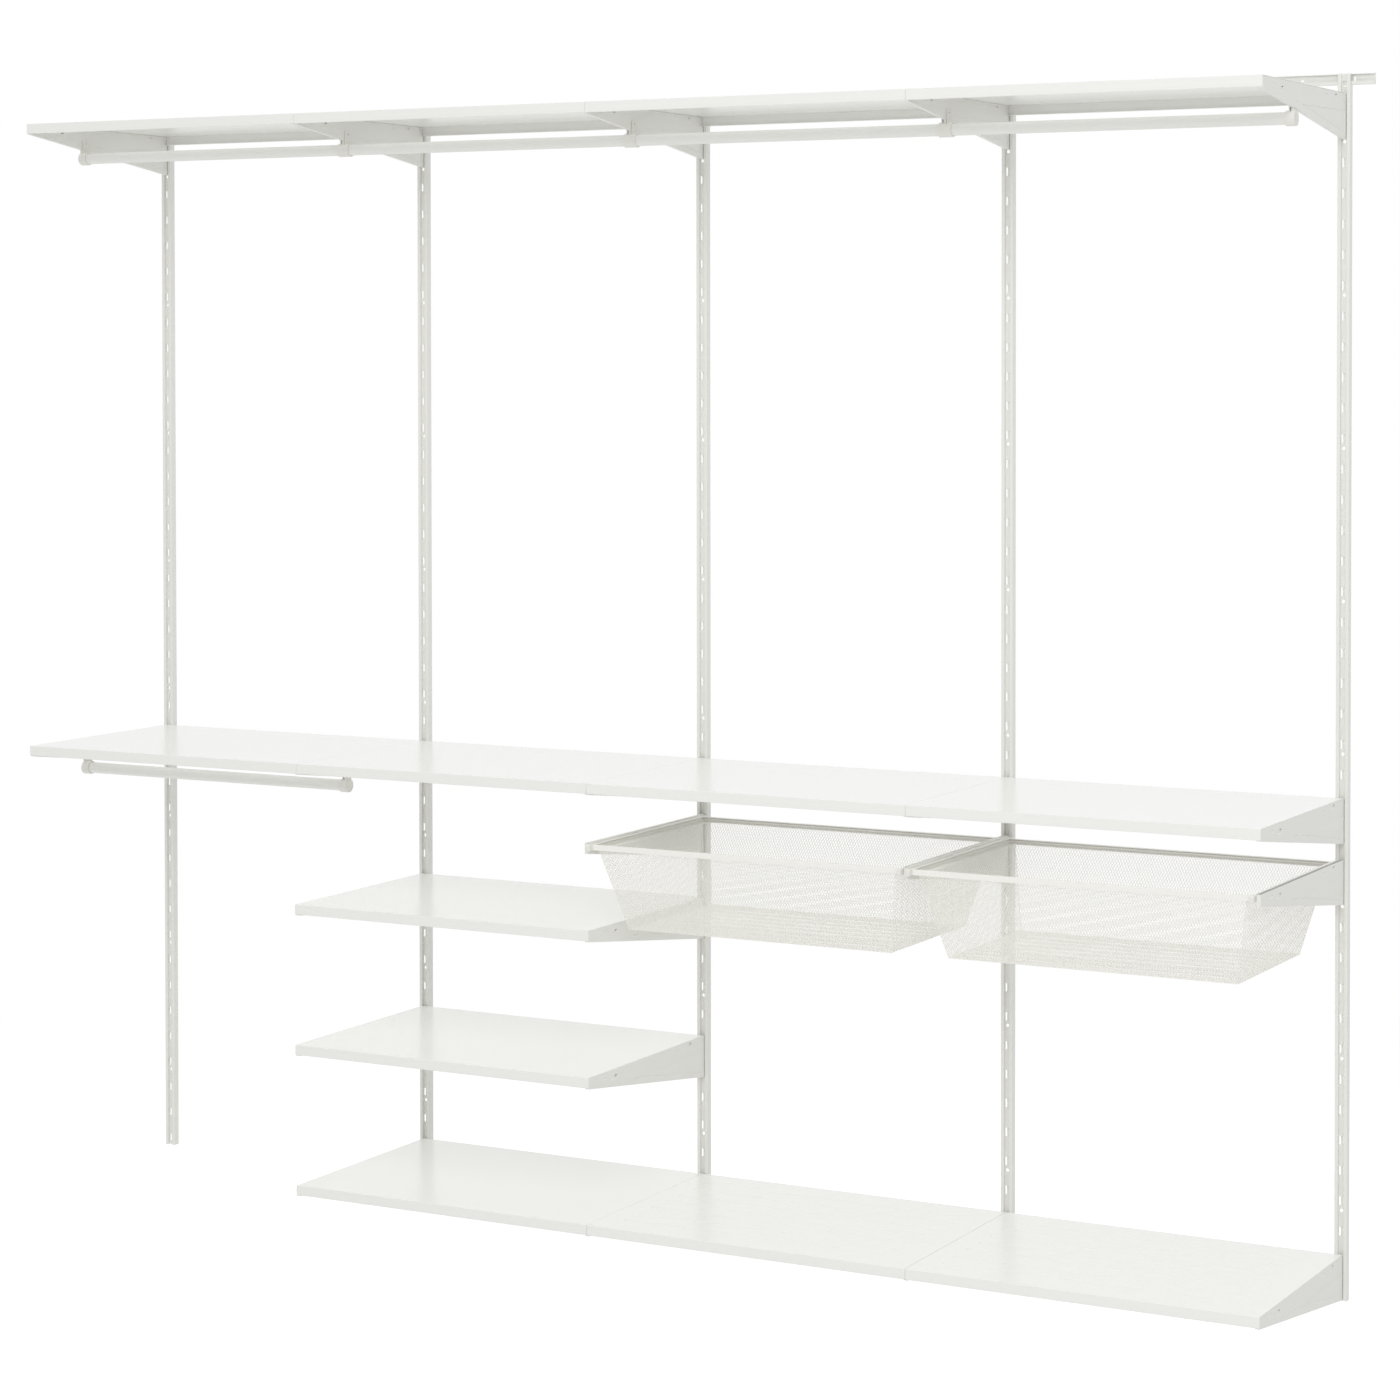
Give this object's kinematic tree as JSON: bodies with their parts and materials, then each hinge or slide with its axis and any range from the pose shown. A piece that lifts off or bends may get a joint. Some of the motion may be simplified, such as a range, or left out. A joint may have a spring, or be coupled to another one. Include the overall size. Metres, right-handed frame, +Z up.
{
  "type": "wall mounted closet system",
  "caption": "Open wall closet: slotted uprights hung on a wall rail, hook-in brackets with steel shelves, clothes tubes below them and mesh baskets that slide out on runners.",
  "frame": {"origin": "on the wall plane, at the middle height of the suspension rail, on the centre line of the left-hand upright", "axes": "+X along the wall to the right, +Y into the wall, +Z up; the room is at negative Y"},
  "size_m": [2.4997, 0.419, 2.008],
  "materials": {
    "powder_white": "satin white powder coat on folded sheet steel",
    "shelf_white": "smooth satin white powder coat",
    "tube_white": "smooth white lacquered steel",
    "basket_white": "white powder coat on expanded steel mesh"
  },
  "bodies": {
    "wall_frame": {"rail_1": "powder_white", "rail_2": "powder_white", "rail_3": "powder_white", "rail_4": "powder_white", "upright_1": "powder_white", "upright_2": "powder_white", "upright_3": "powder_white", "upright_4": "powder_white", "upright_5": "powder_white", "bracket_top_1": "powder_white", "bracket_top_2": "powder_white", "bracket_top_3": "powder_white", "bracket_top_4": "powder_white", "bracket_top_5": "powder_white", "bracket_middle_1": "powder_white", "bracket_middle_2": "powder_white", "bracket_middle_3": "powder_white", "bracket_middle_4": "powder_white", "bracket_middle_5": "powder_white", "bracket_basket_3": "powder_white", "bracket_basket_4": "powder_white", "bracket_basket_5": "powder_white", "bracket_upper_2": "powder_white", "bracket_upper_3": "powder_white", "bracket_lower_2": "powder_white", "bracket_lower_3": "powder_white", "bracket_bottom_2": "powder_white", "bracket_bottom_3": "powder_white", "bracket_bottom_4": "powder_white", "bracket_bottom_5": "powder_white", "shelf_top_1": "shelf_white", "shelf_top_2": "shelf_white", "shelf_top_3": "shelf_white", "shelf_top_4": "shelf_white", "shelf_middle_1": "shelf_white", "shelf_middle_2": "shelf_white", "shelf_middle_3": "shelf_white", "shelf_middle_4": "shelf_white", "shelf_upper_2": "shelf_white", "shelf_lower_2": "shelf_white", "shelf_bottom_2": "shelf_white", "shoe_shelf_3": "shelf_white", "shoe_shelf_4": "shelf_white", "tube_top_1": "tube_white", "tube_top_2": "tube_white", "tube_top_3": "tube_white", "tube_top_4": "tube_white", "tube_middle_1": "tube_white", "tube_holder_top_2": "tube_white", "tube_holder_top_3": "tube_white", "tube_holder_top_4": "tube_white", "tube_holder_middle_2": "tube_white", "basket_1_runner_left": "powder_white", "basket_1_runner_right": "powder_white", "basket_2_runner_left": "powder_white", "basket_2_runner_right": "powder_white"},
    "basket_1": {"basket_1_rim": "basket_white", "basket_1_tub": "basket_white"},
    "basket_2": {"basket_2_rim": "basket_white", "basket_2_tub": "basket_white"}
  },
  "joints": [
    {"name": "basket_1_slide", "type": "slide", "parent": "wall_frame", "child": "basket_1", "axis": [0, -1, 0], "range_m": [0, 0.21]},
    {"name": "basket_2_slide", "type": "slide", "parent": "wall_frame", "child": "basket_2", "axis": [0, -1, 0], "range_m": [0, 0.21]}
  ]
}
